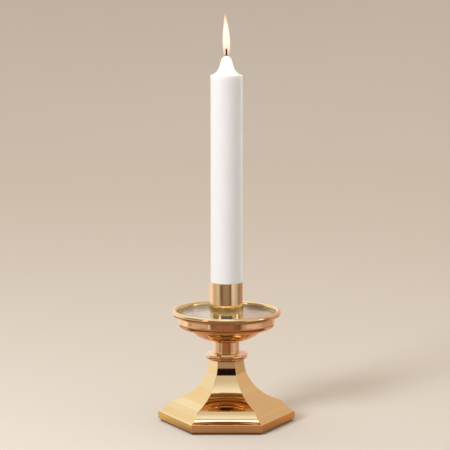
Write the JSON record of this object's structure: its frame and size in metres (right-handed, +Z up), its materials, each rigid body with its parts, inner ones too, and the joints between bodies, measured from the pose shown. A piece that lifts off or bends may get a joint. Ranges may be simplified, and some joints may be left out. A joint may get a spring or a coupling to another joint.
{
  "type": "altar candlestick",
  "caption": "Polished brass altar candlestick with a flared hexagonal base, a knop, a beaded drip pan and a plain socket that holds a lit white candle.",
  "frame": {"origin": "centre of the felt underside that rests on the altar", "axes": "+Z up along the tie rod and the candle; +Y and -Y point at two opposite flat sides of the base, and +X and -X at two of its corners"},
  "size_m": [0.166, 0.144, 0.4917],
  "materials": {
    "brass": "polished and lacquered",
    "pan_brass": "polished rim, satin floor",
    "zinc_steel": "zinc plated",
    "felt": "pressed felt",
    "fibre": "vulcanised fibre",
    "wax": "smooth wax",
    "wick": "braided cotton, charred at the end",
    "flame": "glowing"
  },
  "bodies": {
    "stand": {"base_casting": "brass", "felt_pad": "felt", "knop_ring": "brass", "neck_spool": "brass", "pan_cup": "brass", "pan_drum": "brass", "drip_pan": "pan_brass", "tie_rod": "zinc_steel", "flat_washer": "zinc_steel", "lock_washer": "zinc_steel", "base_nut": "zinc_steel"},
    "washer": {"socket_washer": "fibre"},
    "socket": {"socket_plug": "brass", "socket_tube": "brass"},
    "candle": {"candle_wax": "wax", "candle_wick": "wick", "candle_flame": "flame"}
  },
  "joints": [
    {"name": "socket_rise", "type": "slide", "parent": "stand", "child": "washer", "axis": [0, 0, 1], "range_m": [0, 0.00635]},
    {"name": "socket_turn", "type": "hinge", "parent": "washer", "child": "socket", "pos_m": [0, 0, 0.131], "axis": [0, 0, 1], "range_deg": [0, 1440]},
    {"name": "candle_lift", "type": "slide", "parent": "socket", "child": "candle", "axis": [0, 0, 1], "range_m": [0, 0.05]}
  ],
  "couplings": [
    {"joint": "socket_rise", "follows": "socket_turn", "m_per_rad": 0.00025265}
  ]
}
